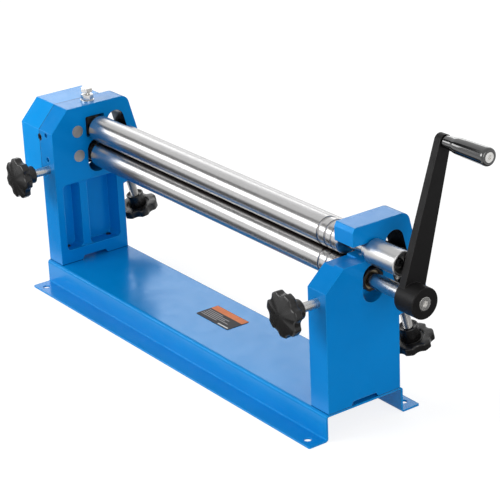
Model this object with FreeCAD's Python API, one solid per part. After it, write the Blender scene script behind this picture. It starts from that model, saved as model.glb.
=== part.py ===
import FreeCAD, Part
import math
import os

# Slip roll machine: three steel rolls between two cast end frames on a bent sheet base.
# Millimetres. +X runs along the rolls to the crank, +Y to the rear, +Z up. The origin is the centre
# of the four bench holes, on the bench.

Vector = FreeCAD.Vector
X_AXIS = Vector(1, 0, 0)
Y_AXIS = Vector(0, 1, 0)
Z_AXIS = Vector(0, 0, 1)

# ---- driving dimensions -------------------------------------------------------------------------

# fits
running_gap = 0.05            # radial gap of every shaft in its bore
sliding_gap = 0.1             # gap on each side of a block in its slot
cut_over = 1.0                # how far a cutting tool runs past the face it opens

# base: a hat channel bent from sheet
base_height = 29.0
base_half_width = 50.0        # to the outside of the walls
flange_half_width = 72.5
sheet = 2.0
bend_inner = 1.5
flange_corner = 2.0
bench_hole_radius = 4.0
bench_hole_pitch_x = 508.0
bench_hole_pitch_y = 126.0

# end frames
frame_gap = 480.0             # between the frames' inner faces
frame_thickness = 28.5
frame_half_depth = 46.5
frame_top = 219.3
left_chamfer_low = 194.0
right_chamfer_low = 160.3
chamfer_run = 23.3            # how far both front chamfers run back
rear_corner_radius = 11.0
foot_notch_low = 36.0         # widths of the notch under each frame
foot_notch_high = 30.0
foot_notch_height = 5.0
edge_round = 1.0

# pockets on the inner faces
pocket_half_width = 37.4
pocket_low = 45.5
pocket_high = 128.2
pocket_depth = 18.0
pocket_draft = 3.5
pocket_corner = 5.0
rib_front = -13.0
rib_rear = -3.0
rib_recess = 3.0

# rolls
roll_radius = 15.5
roll_end_gap = 9.0            # from a roll's end to the frame beside it
roll_chamfer = 1.5
roll_y = 13.4
lower_roll_z = 159.0
nip = 0.4
lower_roll_drop = 1.0
lower_roll_lift = 0.3
journal_radius = 8.0
gear_seat_radius = 5.5
groove_insets = (30.5, 19.0, 9.5)     # from the roll's right end
groove_radii = (2.3, 1.7, 1.2)

# slot and bearing blocks of the lower roll
lower_slot_low = 134.9
lower_slot_high = 175.5
lower_slot_radius = 13.0
lower_block_half_height = 11.2
lower_block_chamfer = 7.5
bush_wall = 2.0
bush_recess = 2.5

# window and swivelling block of the upper roll (left), mouth of the right frame
window_low = 179.8
window_high = 204.8
window_half_width = 13.0
window_corner = 2.0
block_end_gap = 0.3
pivot_seat_depth = 3.0
pivot_seat_gap = 0.2
mouth_half_height = 9.4
mouth_rebate = 1.5
hook_front = -11.2
hook_nose_low = 214.5
hook_nose_run = 2.6

# rear roll: slot, blocks and screws lean back from the vertical
rear_tilt = 15.0
rear_slot_top_y = 41.5
rear_slot_top_z = 192.7
rear_slot_radius = 11.5
rear_slot_length = 38.0
rear_roll_drop = 22.5         # from the slot's top centre to the roll's axis, along the slot
rear_block_half_length = 13.0
rear_journal_radius = 7.0
rear_journal_inset = 2.0
boss_half_width = 24.0
boss_bottom = 80.7            # along the slot, from its top centre

# adjusting screws and star knobs
screw_radius = 5.0
front_screw_z = 147.0
wedge_gap = 0.2
knob_radius = 24.0
knob_body = 11.5
knob_hub_radius = 10.5
knob_hub_length = 13.5
knob_lobes = 7
knob_valley_radius = 8.0
knob_valley_depth = 2.8
knob_edge = 1.6
front_knob_turns = {-1: 22.0, 1: 40.0}    # degrees from world X to one valley, by side
rear_knob_turns = {-1: 41.0, 1: 21.0}
knob_screw_depth = 16.0
knob_recess_radius = 14.0     # ring sunk round the hub into the back of the star
knob_recess_depth = 3.0
knob_cup_radius = 8.2         # cup in the hub's end round the screw
knob_cup_depth = 1.8
front_knob_back = 68.0        # hub end, in front of the roll-plane origin
rear_knob_start = 109.0       # hub end, along the slot from its top centre
rear_screw_seat = 6.0

# gears
gear_module = 1.5
roll_gear_teeth = 13
idler_teeth = 20
tooth_thinning = 0.76         # off every tooth, so that the lower roll can lift and drop in mesh
tooth_addendum = 0.8          # shares of the module
tooth_dedendum = 1.25
pressure_angle = 20.0
gear_width = 12.0
gear_gap = 5.5                # from the left frame to every gear
gear_washer = 1.5
gear_washer_radius = 8.0
key_size = 3.0
key_length = 10.0
idler_stud_radius = 7.2
idler_pin_radius = 5.0
idler_ring = 1.2
idler_ring_radius = 8.0

# gear cover
cover_depth = 41.5
cover_wall = 2.5
cover_bottom = 137.0
cover_rear = 39.0
cover_edge = 1.5
cover_post_radius = 5.0
cover_screw_places = ((-36.0, 172.0), (24.0, 211.5))
cover_tap_depth = 8.5
seam_screw_z = 184.4
seam_lug = 6.5

# release sleeve
sleeve_radius = 13.2
sleeve_gap = 2.1              # between the frame's outer face and the sleeve's shoulder
sleeve_length = 43.9          # from its shoulder to its hollow end
sleeve_neck_radius = 9.1
sleeve_neck_length = 8.6
sleeve_journal_radius = 7.0
roll_neck_seat = 25.0         # how deep the upper roll's right neck is pressed into the roll
sleeve_hollow_radius = 10.8
sleeve_hollow_depth = 17.5
sleeve_chamfer = 0.8
retainer_washer_radius = 9.0
retainer_washer = 2.0
retainer_inset = 11.5         # from the sleeve's end to the washer's seat

# crank
crank_gap = 5.0               # from the sleeve's end to the crank arm
crank_arm_thickness = 8.5
crank_hub_length = 26.5
crank_hub_radius = 16.4
crank_length = 155.4
crank_lean = 15.9             # degrees to the rear of upright
crank_half_width_low = 13.8
crank_half_width_high = 7.2
crank_seat_radius = 7.0
crank_seat_length = 19.0
crank_key_size = 4.0
crank_key_length = 14.0
crank_screw_head_radius = 7.0
crank_screw_head = 4.0
grip_gap = 0.6
grip_length = 60.0
grip_neck_radius = 6.6
grip_low_radius = 8.0
grip_high_radius = 9.3
spindle_radius = 4.0
spindle_head_radius = 5.2
spindle_head = 3.0

# fasteners
m8_radius = 4.0
m8_socket = 6.0
m8_washer_radius = 8.0
m8_washer = 1.6
m8_nut_flats = 13.0
m8_nut = 6.5
frame_bolt_y = 28.5
frame_bolt_rise = 0.6         # how far a frame bolt's end stands above the pocket's ledge
pivot_head = 5.3
pivot_head_low = 230.0
m6_radius = 3.0
m6_flats = 10.0
m6_head = 4.0
m6_washer_radius = 6.0
m6_washer = 1.6
m6_socket = 3.0
set_screw_length = 12.0
m5_radius = 2.5
m5_head_radius = 4.25
m5_head = 5.0
m5_socket = 4.0
m5_engagement = 10.0

# label
label_length = 59.5
label_width = 30.0
label_thickness = 0.5
label_x = 8.2
label_y = 10.0
label_corner = 1.5

# ---- derived places -----------------------------------------------------------------------------

inner_face = frame_gap / 2
outer_face = inner_face + frame_thickness
roll_left = roll_end_gap - inner_face
roll_right = inner_face - roll_end_gap
gear_plane = outer_face + gear_gap
sleeve_end = outer_face + sleeve_gap + sleeve_length
retainer_start = sleeve_end - retainer_inset
crank_start = sleeve_end + crank_gap
frame_middle = inner_face + frame_thickness / 2
base_length = 2 * outer_face
chamfer_back_y = -frame_half_depth + chamfer_run
upper_roll_z = lower_roll_z + 2 * roll_radius + nip
window_z = (window_low + window_high) / 2
rear_lean = math.radians(rear_tilt)
pitch_radius_roll_gear = gear_module * roll_gear_teeth / 2
pitch_radius_idler = gear_module * idler_teeth / 2
idler_rise = pitch_radius_idler
roll_middle_z = (lower_roll_z + upper_roll_z) / 2
upper_idler_z = roll_middle_z + idler_rise
lower_idler_z = roll_middle_z - idler_rise
gear_distance = pitch_radius_roll_gear + pitch_radius_idler
idler_y = roll_y - math.sqrt(gear_distance ** 2 - (upper_roll_z - upper_idler_z) ** 2)
gear_far = gear_plane + gear_width
journal_end_left = gear_far - 0.5
bush_outer_radius = journal_radius + running_gap + bush_wall
rear_bush_outer_radius = rear_journal_radius + running_gap + bush_wall
crank_arm_face = crank_start + crank_arm_thickness
crank_end = crank_start + crank_hub_length
crank_direction = Vector(0, math.sin(math.radians(crank_lean)), math.cos(math.radians(crank_lean)))


# ---- helpers ------------------------------------------------------------------------------------

def save(name, *solids):
    """Write one sub-part; several solids go into the same file as separate solids."""
    shape = solids[0] if len(solids) == 1 else Part.makeCompound(list(solids))
    shape.exportStep("parts/" + name + ".step")


def rod(radius, start, end):
    """A cylinder from one point to another."""
    start = Vector(*start)
    run = Vector(*end) - start
    return Part.makeCylinder(radius, run.Length, start, run)


def block(low, high):
    """A box from its lowest to its highest corner."""
    return Part.makeBox(high[0] - low[0], high[1] - low[1], high[2] - low[2], Vector(*low))


def plate(outline, x_low, x_high):
    """A prism along X of a closed outline of (y, z) points."""
    points = [Vector(x_low, y, z) for y, z in outline]
    wire = Part.makePolygon(points + points[:1])
    return Part.Face(wire).extrude(Vector(x_high - x_low, 0, 0))


def obround(first, second, radius, x_low, x_high):
    """A round-ended prism along X around the line between two (y, z) centres."""
    start = Vector(x_low, *first)
    end = Vector(x_low, *second)
    along = (end - start).normalize()
    side = X_AXIS.cross(along) * radius
    tip = along * radius
    wire = Part.Wire([
        Part.LineSegment(start + side, end + side).toShape(),
        Part.Arc(end + side, end + tip, end - side).toShape(),
        Part.LineSegment(end - side, start - side).toShape(),
        Part.Arc(start - side, start - tip, start + side).toShape(),
    ])
    return Part.Face(wire).extrude(Vector(x_high - x_low, 0, 0))


def rounded_rectangle(x, y_low, y_high, z_low, z_high, corner):
    """A closed wire at one X, with round corners."""
    middle_y = (y_low + y_high) / 2
    middle_z = (z_low + z_high) / 2
    box = Part.makeBox(1, y_high - y_low, z_high - z_low, Vector(x, y_low, z_low))
    edges = [edge for edge in box.Edges if abs(edge.BoundBox.XLength - 1) < 1e-6]
    solid = box.makeFillet(corner, edges)
    near = Vector(x, middle_y, middle_z)
    faces = [face for face in solid.Faces if face.BoundBox.XLength < 1e-6]
    return min(faces, key=lambda face: (face.CenterOfMass - near).Length).OuterWire


def round_x_edges(shape, places, radius):
    """Round the edges that run along X through the given (y, z) places."""
    chosen = []
    for edge in shape.Edges:
        box = edge.BoundBox
        if box.XLength > 1 and box.YLength < 1e-6 and box.ZLength < 1e-6:
            if any(abs(box.YMin - y) < 1e-4 and abs(box.ZMin - z) < 1e-4 for y, z in places):
                chosen.append(edge)
    return shape.makeFillet(radius, chosen)


def hex_prism(flats, start, end):
    """A hexagonal prism from one point to another."""
    start = Vector(*start)
    run = Vector(*end) - start
    helper = X_AXIS if abs(run.x) < 0.5 * run.Length else Y_AXIS
    first = run.cross(helper).normalize()
    second = run.cross(first).normalize()
    corner = flats / math.sqrt(3)
    turns = [math.radians(60 * step) for step in range(6)]
    points = [start + first * (corner * math.cos(t)) + second * (corner * math.sin(t)) for t in turns]
    return Part.Face(Part.makePolygon(points + points[:1])).extrude(run)


def ring(outer, inner, start, end):
    """A washer or bush from one point to another."""
    return rod(outer, start, end).cut(rod(inner, start, end))


def along(point, direction, distance):
    """The point at a distance along a direction, as a tuple."""
    moved = Vector(*point) + Vector(*direction) * distance
    return (moved.x, moved.y, moved.z)


def socket_screw(radius, head_radius, head, socket, seat, direction, length):
    """A cap screw. The head's underside is at seat, and the shank runs along direction."""
    shank = rod(radius, seat, along(seat, direction, length))
    top = along(seat, direction, -head)
    body = shank.fuse(rod(head_radius, seat, top)).removeSplitter()
    return body.cut(hex_prism(socket, top, along(top, direction, head * 0.55)))


def rear_point(x, station, offset=0.0):
    """A point beside the rear slot's line: station runs down it, offset goes to the rear."""
    y = rear_slot_top_y + station * math.sin(rear_lean) + offset * math.cos(rear_lean)
    z = rear_slot_top_z - station * math.cos(rear_lean) + offset * math.sin(rear_lean)
    return (x, y, z)


rear_up = (0.0, -math.sin(rear_lean), math.cos(rear_lean))
rear_down = (0.0, math.sin(rear_lean), -math.cos(rear_lean))
rear_roll_place = rear_point(0.0, rear_roll_drop)


# ---- base ---------------------------------------------------------------------------------------

def make_base():
    wall_in = base_half_width - sheet
    top_in = base_height - sheet
    side = [(-flange_half_width, 0), (-flange_half_width, sheet), (-base_half_width, sheet),
            (-base_half_width, base_height)]
    inside = [(wall_in, 0), (wall_in, top_in), (-wall_in, top_in), (-wall_in, 0)]
    outline = side + [(-y, z) for y, z in reversed(side)] + inside
    channel = plate(outline, -outer_face, outer_face)
    outer_bend = bend_inner + sheet
    large = [(s * base_half_width, base_height) for s in (-1, 1)] + [(s * wall_in, 0) for s in (-1, 1)]
    small = [(s * wall_in, top_in) for s in (-1, 1)] + [(s * base_half_width, sheet) for s in (-1, 1)]
    channel = round_x_edges(channel, large, outer_bend)
    channel = round_x_edges(channel, small, bend_inner)
    corners = [edge for edge in channel.Edges
               if edge.BoundBox.XLength < 1e-6 and edge.BoundBox.YLength < 1e-6
               and abs(abs(edge.BoundBox.YMin) - flange_half_width) < 1e-4]
    channel = channel.makeFillet(flange_corner, corners)
    for x in (-bench_hole_pitch_x / 2, bench_hole_pitch_x / 2):
        for y in (-bench_hole_pitch_y / 2, bench_hole_pitch_y / 2):
            channel = channel.cut(rod(bench_hole_radius, (x, y, -cut_over), (x, y, sheet + cut_over)))
    for x, y in frame_bolt_places():
        top = base_height + cut_over
        channel = channel.cut(rod(m6_radius + sliding_gap, (x, y, top_in - cut_over), (x, y, top)))
    return channel


def make_label():
    low = (label_x - label_length / 2, label_y - label_width / 2, base_height)
    high = (label_x + label_length / 2, label_y + label_width / 2, base_height + label_thickness)
    label = block(low, high)
    corners = [edge for edge in label.Edges if edge.BoundBox.ZLength > 0.9 * label_thickness]
    return label.makeFillet(label_corner, corners)


def frame_bolt_places():
    return [(sx * frame_middle, sy * frame_bolt_y) for sx in (-1, 1) for sy in (-1, 1)]


# ---- end frames ---------------------------------------------------------------------------------

def rear_outline():
    """The frame's outline from the top's rear corner down to its foot, as (y, z) points."""
    boss_face = rear_point(0, 0, boss_half_width)
    rise = (frame_top - boss_face[2]) / math.cos(rear_lean)
    top_corner = rear_point(0, -rise, boss_half_width)
    boss_corner = rear_point(0, boss_bottom, boss_half_width)
    boss_centre = rear_point(0, boss_bottom)
    reach = (boss_centre[1] - frame_half_depth) / math.cos(rear_lean)
    boss_foot = rear_point(0, boss_bottom, -reach)
    places = [top_corner, boss_corner, boss_foot]
    return [(y, z) for _, y, z in places] + [(frame_half_depth, base_height)]


def cut_pocket(frame, side):
    """Sink the drafted, ribbed pocket into the inner face; side is -1 left, 1 right."""
    mouth = side * inner_face
    recess = side * (inner_face + rib_recess)
    floor = side * (inner_face + pocket_depth)
    x_low, x_high = sorted((mouth - side * cut_over, recess))
    shallow = block((x_low, -pocket_half_width, pocket_low), (x_high, pocket_half_width, pocket_high))
    edges = [edge for edge in shallow.Edges if edge.BoundBox.XLength > rib_recess]
    frame = frame.cut(shallow.makeFillet(pocket_corner, edges))
    for y_low, y_high in ((-pocket_half_width, rib_front), (rib_rear, pocket_half_width)):
        wires = []
        for x, draft in ((recess, 0.0), (floor, pocket_draft)):
            wires.append(rounded_rectangle(x, y_low + draft, y_high - draft,
                                           pocket_low, pocket_high - draft, pocket_corner))
        frame = frame.cut(Part.makeLoft(wires, True, True))
    return frame


def cut_common(frame, side):
    """Cut what both frames share: slots, screw holes, pocket, foot notch and bolt holes."""
    x_low = min(side * inner_face, side * outer_face)
    x_high = x_low + frame_thickness
    past_low = x_low - cut_over
    past_high = x_high + cut_over
    middle = side * frame_middle
    slot_low = (roll_y, lower_slot_low + lower_slot_radius)
    slot_high = (roll_y, lower_slot_high - lower_slot_radius)
    frame = frame.cut(obround(slot_low, slot_high, lower_slot_radius, past_low, past_high))
    rear_top = rear_point(0, 0)[1:]
    rear_low = rear_point(0, rear_slot_length)[1:]
    frame = frame.cut(obround(rear_top, rear_low, rear_slot_radius, past_low, past_high))
    front = (middle, -frame_half_depth - cut_over, front_screw_z)
    frame = frame.cut(rod(screw_radius + running_gap, front, (middle, roll_y, front_screw_z)))
    boss = rear_point(middle, boss_bottom + cut_over)
    frame = frame.cut(rod(screw_radius + running_gap, boss, rear_point(middle, rear_slot_length)))
    notch = [(-foot_notch_low / 2, base_height - cut_over), (-foot_notch_low / 2, base_height),
             (-foot_notch_high / 2, base_height + foot_notch_height),
             (foot_notch_high / 2, base_height + foot_notch_height),
             (foot_notch_low / 2, base_height), (foot_notch_low / 2, base_height - cut_over)]
    frame = frame.cut(plate(notch, past_low, past_high))
    frame = cut_pocket(frame, side)
    for x, y in frame_bolt_places():
        if x * side > 0:
            low = (x, y, base_height - cut_over)
            frame = frame.cut(rod(m6_radius + running_gap, low, (x, y, pocket_low + cut_over)))
    return frame


def make_left_frame():
    front = [(-frame_half_depth, base_height), (-frame_half_depth, left_chamfer_low),
             (chamfer_back_y, frame_top)]
    rear = rear_outline()
    frame = plate(front + rear, -outer_face, -inner_face)
    frame = round_x_edges(frame, rear[:1], rear_corner_radius)
    frame = cut_common(frame, -1)
    window = block((-outer_face - cut_over, roll_y - window_half_width, window_low),
                   (-inner_face + cut_over, roll_y + window_half_width, window_high))
    edges = [edge for edge in window.Edges if edge.BoundBox.XLength > frame_thickness]
    frame = frame.cut(window.makeFillet(window_corner, edges))
    top = (-frame_middle, roll_y, frame_top + cut_over)
    frame = frame.cut(rod(m8_radius + running_gap, top, (-frame_middle, roll_y, window_z)))
    for z in (upper_idler_z, lower_idler_z):
        frame = frame.cut(rod(idler_stud_radius + running_gap,
                              (-outer_face - cut_over, idler_y, z), (-inner_face + cut_over, idler_y, z)))
        front_hole = (-frame_middle, -frame_half_depth - cut_over, z)
        frame = frame.cut(rod(m6_radius + running_gap, front_hole, (-frame_middle, idler_y, z)))
    for y, z in cover_screw_places:
        start = (-outer_face - cut_over, y, z)
        frame = frame.cut(rod(m5_radius + running_gap, start, (-outer_face + cover_tap_depth, y, z)))
    return frame.cut(seam_screw_hole())


def make_right_frame():
    floor_z = upper_roll_z - mouth_half_height
    roof_z = upper_roll_z + mouth_half_height
    rear = rear_outline()
    before = [(-frame_half_depth, base_height), (-frame_half_depth, right_chamfer_low),
              (chamfer_back_y, floor_z), (roll_y, floor_z)]
    after = [(roll_y, roof_z), (hook_front, roof_z), (hook_front, hook_nose_low),
             (hook_front + hook_nose_run, frame_top)] + rear + before[:1]
    x = inner_face
    first = [Vector(x, *point) for point in before]
    second = [Vector(x, *point) for point in after]
    seat = Part.Arc(first[-1], Vector(x, roll_y + mouth_half_height, upper_roll_z), second[0])
    edges = Part.makePolygon(first).Edges + [seat.toShape()] + Part.makePolygon(second).Edges
    frame = Part.Face(Part.Wire(edges)).extrude(Vector(frame_thickness, 0, 0))
    frame = round_x_edges(frame, rear[:1], rear_corner_radius)
    frame = cut_common(frame, 1)
    rebate = block((inner_face - cut_over, -frame_half_depth, floor_z - mouth_rebate),
                   (frame_middle, roll_y - mouth_half_height, floor_z + cut_over))
    return frame.cut(rebate)


# ---- gear cover ---------------------------------------------------------------------------------

def seam_screw_hole():
    front = (-outer_face, -frame_half_depth - cut_over, seam_screw_z)
    seat = (-outer_face, -frame_half_depth + m5_head, seam_screw_z)
    deep = (-outer_face, -frame_half_depth + m5_head + m5_engagement, seam_screw_z)
    return rod(m5_head_radius + sliding_gap, front, seat).fuse(rod(m5_radius + running_gap, seat, deep))


def make_gear_cover():
    outline = [(-frame_half_depth, cover_bottom), (-frame_half_depth, left_chamfer_low),
               (chamfer_back_y, frame_top), (cover_rear, frame_top), (cover_rear, cover_bottom)]
    outer_x = -outer_face - cover_depth
    shell = plate(outline, outer_x, -outer_face)
    rim = [edge for edge in shell.Edges if abs(edge.BoundBox.XMax - outer_x) < 1e-6]
    shell = shell.makeFillet(cover_edge, rim)
    points = [Vector(outer_x + cover_wall, y, z) for y, z in outline]
    inner_wire = Part.Face(Part.makePolygon(points + points[:1])).makeOffset2D(-cover_wall)
    shell = shell.cut(inner_wire.extrude(Vector(cover_depth, 0, 0)))
    lug_depth = m5_head + m5_engagement
    shell = shell.fuse(block((-outer_face - seam_lug, -frame_half_depth + cover_wall / 2,
                              seam_screw_z - seam_lug),
                             (-outer_face, -frame_half_depth + lug_depth, seam_screw_z + seam_lug)))
    for y, z in cover_screw_places:
        post = rod(cover_post_radius, (outer_x + cover_wall / 2, y, z), (-outer_face, y, z))
        shell = shell.fuse(post)
    shell = shell.removeSplitter()
    for y, z in cover_screw_places:
        shell = shell.cut(rod(m5_radius + sliding_gap, (outer_x - cut_over, y, z), (-outer_face + 1, y, z)))
    return shell.cut(seam_screw_hole())


def make_cover_screws():
    screws = []
    for y, z in cover_screw_places:
        seat = (-outer_face - cover_depth, y, z)
        length = cover_depth + cover_tap_depth - cut_over
        screws.append(socket_screw(m5_radius, m5_head_radius, m5_head, m5_socket, seat, (1, 0, 0), length))
    return screws


def make_seam_screw():
    seat = (-outer_face, -frame_half_depth + m5_head, seam_screw_z)
    return socket_screw(m5_radius, m5_head_radius, m5_head - 0.5, m5_socket, seat, (0, 1, 0),
                        m5_engagement - 0.5)


# ---- frame fasteners ----------------------------------------------------------------------------

def make_frame_bolts():
    """Hex bolts from under the base, tapped through each foot to the pocket's ledge."""
    bolts = []
    washers = []
    washer_top = base_height - sheet
    seat = washer_top - m6_washer
    for x, y in frame_bolt_places():
        head = hex_prism(m6_flats, (x, y, seat - m6_head), (x, y, seat))
        shank = rod(m6_radius, (x, y, seat), (x, y, pocket_low + frame_bolt_rise))
        bolts.append(head.fuse(shank).removeSplitter())
        washers.append(ring(m6_washer_radius, m6_radius + sliding_gap, (x, y, seat), (x, y, washer_top)))
    return bolts, washers


def make_stud_set_screws():
    screws = []
    for z in (upper_idler_z, lower_idler_z):
        tip = (-frame_middle, idler_y - idler_stud_radius, z)
        back = along(tip, (0, -1, 0), set_screw_length)
        body = rod(m6_radius, tip, back)
        screws.append(body.cut(hex_prism(m6_socket, back, along(back, (0, 1, 0), m6_socket))))
    return screws


# ---- pivot bolt and swivelling block of the upper roll ------------------------------------------

def make_upper_block():
    radius = window_half_width - sliding_gap
    low = window_low + block_end_gap
    high = window_high - block_end_gap
    body = rod(radius, (-frame_middle, roll_y, low), (-frame_middle, roll_y, high))
    rims = [edge for edge in body.Edges if edge.BoundBox.ZLength < 1e-6]
    body = body.makeChamfer(window_corner, rims)
    bore = rod(journal_radius + running_gap, (-outer_face, roll_y, upper_roll_z),
               (-inner_face, roll_y, upper_roll_z))
    seat = rod(m8_radius + running_gap, (-frame_middle, roll_y, high - pivot_seat_depth),
               (-frame_middle, roll_y, high + 1))
    return body.cut(bore).cut(seat)


def make_pivot_bolt():
    tip = window_high - block_end_gap - pivot_seat_depth + pivot_seat_gap
    shank = rod(m8_radius, (-frame_middle, roll_y, tip), (-frame_middle, roll_y, pivot_head_low))
    head = hex_prism(m8_nut_flats, (-frame_middle, roll_y, pivot_head_low),
                     (-frame_middle, roll_y, pivot_head_low + pivot_head))
    return shank.fuse(head).removeSplitter()


def make_pivot_washer():
    return ring(m8_washer_radius, m8_radius + sliding_gap, (-frame_middle, roll_y, frame_top),
                (-frame_middle, roll_y, frame_top + m8_washer))


def make_pivot_nut():
    low = frame_top + m8_washer
    nut = hex_prism(m8_nut_flats, (-frame_middle, roll_y, low), (-frame_middle, roll_y, low + m8_nut))
    return nut.cut(rod(m8_radius + running_gap, (-frame_middle, roll_y, low - 1),
                       (-frame_middle, roll_y, low + m8_nut + 1)))


# ---- rolls --------------------------------------------------------------------------------------

def roll_body(y, z):
    body = rod(roll_radius, (roll_left, y, z), (roll_right, y, z))
    rims = [edge for edge in body.Edges if edge.BoundBox.XLength < 1e-6]
    return body.makeChamfer(roll_chamfer, rims)


def cut_grooves(roll, y, z, share):
    """Turn the wire grooves; share scales their depth and width."""
    for inset, radius in zip(groove_insets, groove_radii):
        centre = Vector(roll_right - inset, y, z)
        roll = roll.cut(Part.makeTorus(roll_radius, radius * share, centre, X_AXIS))
    return roll


def gear_end(z):
    """The stepped left journal that carries a roll gear, with its keyway."""
    shoulder = gear_plane - 0.5
    journal = rod(journal_radius, (roll_left, roll_y, z), (-shoulder, roll_y, z))
    seat = rod(gear_seat_radius, (-shoulder, roll_y, z), (-journal_end_left, roll_y, z))
    return journal.fuse(seat).cut(gear_key(z)).cut(end_tap(-journal_end_left, z, 1))


def end_tap(x, z, inward):
    """The tapped hole in a shaft's end; inward is the direction of its depth along X."""
    return rod(m5_radius + running_gap, (x - inward, roll_y, z), (x + inward * (m5_engagement + 1), roll_y, z))


def gear_key(z):
    middle = -(gear_plane + gear_width / 2)
    top = z + gear_seat_radius + key_size / 2
    return block((middle - key_length / 2, roll_y - key_size / 2, top - key_size),
                 (middle + key_length / 2, roll_y + key_size / 2, top))


def crank_key():
    middle = crank_start + crank_seat_length / 2
    top = lower_roll_z + crank_seat_radius + crank_key_size / 2
    return block((middle - crank_key_length / 2, roll_y - crank_key_size / 2, top - crank_key_size),
                 (middle + crank_key_length / 2, roll_y + crank_key_size / 2, top))


def make_lower_roll():
    roll = roll_body(roll_y, lower_roll_z).fuse(gear_end(lower_roll_z))
    journal = rod(journal_radius, (roll_right, roll_y, lower_roll_z), (crank_start, roll_y, lower_roll_z))
    seat_end = crank_start + crank_seat_length
    seat = rod(crank_seat_radius, (crank_start, roll_y, lower_roll_z), (seat_end, roll_y, lower_roll_z))
    roll = roll.fuse(journal).fuse(seat.cut(crank_key())).removeSplitter()
    roll = roll.cut(rod(m8_radius + running_gap, (seat_end - m5_engagement, roll_y, lower_roll_z),
                        (seat_end + 1, roll_y, lower_roll_z)))
    return cut_grooves(roll, roll_y, lower_roll_z, 0.8)


def make_upper_roll():
    roll = roll_body(roll_y, upper_roll_z).fuse(gear_end(upper_roll_z)).removeSplitter()
    seat = rod(sleeve_journal_radius + running_gap, (roll_right - roll_neck_seat, roll_y, upper_roll_z),
               (roll_right + cut_over, roll_y, upper_roll_z))
    return cut_grooves(roll.cut(seat), roll_y, upper_roll_z, 1.0)


def make_upper_roll_neck():
    """The ground neck that the release sleeve slides on, pressed into the upper roll's right end."""
    neck = rod(sleeve_journal_radius, (roll_right - roll_neck_seat, roll_y, upper_roll_z),
               (retainer_start, roll_y, upper_roll_z))
    return neck.cut(end_tap(retainer_start, upper_roll_z, -1))


def make_rear_roll():
    _, y, z = rear_roll_place
    end = outer_face - rear_journal_inset
    body = roll_body(y, z)
    return body.fuse(rod(rear_journal_radius, (-end, y, z), (end, y, z))).removeSplitter()


# ---- lower and rear bearing blocks --------------------------------------------------------------

def make_lower_block(side):
    half = lower_slot_radius - sliding_gap
    high = lower_block_half_height
    low = high - lower_block_chamfer
    narrow = half - lower_block_chamfer
    corners = [(half, low), (narrow, high), (-narrow, high), (-half, low),
               (-half, -low), (-narrow, -high), (narrow, -high), (half, -low)]
    outline = [(roll_y + y, lower_roll_z + z) for y, z in corners]
    x_low, x_high = sorted((side * (inner_face + sliding_gap), side * (outer_face - sliding_gap)))
    body = plate(outline, x_low, x_high)
    return body.cut(rod(bush_outer_radius + running_gap, (x_low - 1, roll_y, lower_roll_z),
                        (x_high + 1, roll_y, lower_roll_z)))


def make_lower_bush(side):
    x_low, x_high = sorted((side * (inner_face + bush_recess), side * (outer_face - bush_recess)))
    return ring(bush_outer_radius, journal_radius + running_gap, (x_low, roll_y, lower_roll_z),
                (x_high, roll_y, lower_roll_z))


def make_rear_block(side):
    radius = rear_slot_radius - sliding_gap
    straight = rear_block_half_length - radius
    first = rear_point(0, rear_roll_drop - straight)[1:]
    second = rear_point(0, rear_roll_drop + straight)[1:]
    x_low, x_high = sorted((side * (inner_face + sliding_gap), side * (outer_face - sliding_gap)))
    body = obround(first, second, radius, x_low, x_high)
    _, y, z = rear_roll_place
    body = body.cut(rod(rear_bush_outer_radius, (x_low - 1, y, z), (x_high + 1, y, z)))
    middle = side * frame_middle
    seat = rod(screw_radius + running_gap, rear_point(middle, rear_seat_station()),
               rear_point(middle, rear_roll_drop + rear_block_half_length + 1))
    return body.cut(seat)


def rear_seat_station():
    """Where the rear screw's seat in its block ends, beyond the bush."""
    return rear_roll_drop + rear_bush_outer_radius + bush_wall / 2


def make_rear_bush(side):
    _, y, z = rear_roll_place
    x_low, x_high = sorted((side * (inner_face + bush_recess), side * (outer_face - rear_journal_inset)))
    return ring(rear_bush_outer_radius, rear_journal_radius + running_gap, (x_low, y, z), (x_high, y, z))


# ---- adjusting screws and knobs -----------------------------------------------------------------

def make_front_screw(side):
    """Its cone lifts the lower block's chamfer, a wedge gap below it."""
    chamfer_sum = (roll_y - lower_slot_radius + sliding_gap) + (lower_roll_z - lower_block_half_height
                                                                + lower_block_chamfer)
    tip_y = chamfer_sum - wedge_gap * math.sqrt(2) - front_screw_z
    middle = side * frame_middle
    back = -front_knob_back - knob_screw_depth
    shank = rod(screw_radius, (middle, back, front_screw_z), (middle, tip_y - screw_radius, front_screw_z))
    cone = Part.makeCone(screw_radius, 0, screw_radius, Vector(middle, tip_y - screw_radius, front_screw_z),
                         Y_AXIS)
    return shank.fuse(cone).removeSplitter()


def make_rear_screw(side):
    middle = side * frame_middle
    start = rear_seat_station() + pivot_seat_gap
    return rod(screw_radius, rear_point(middle, start),
               rear_point(middle, rear_knob_start + knob_screw_depth))


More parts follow.
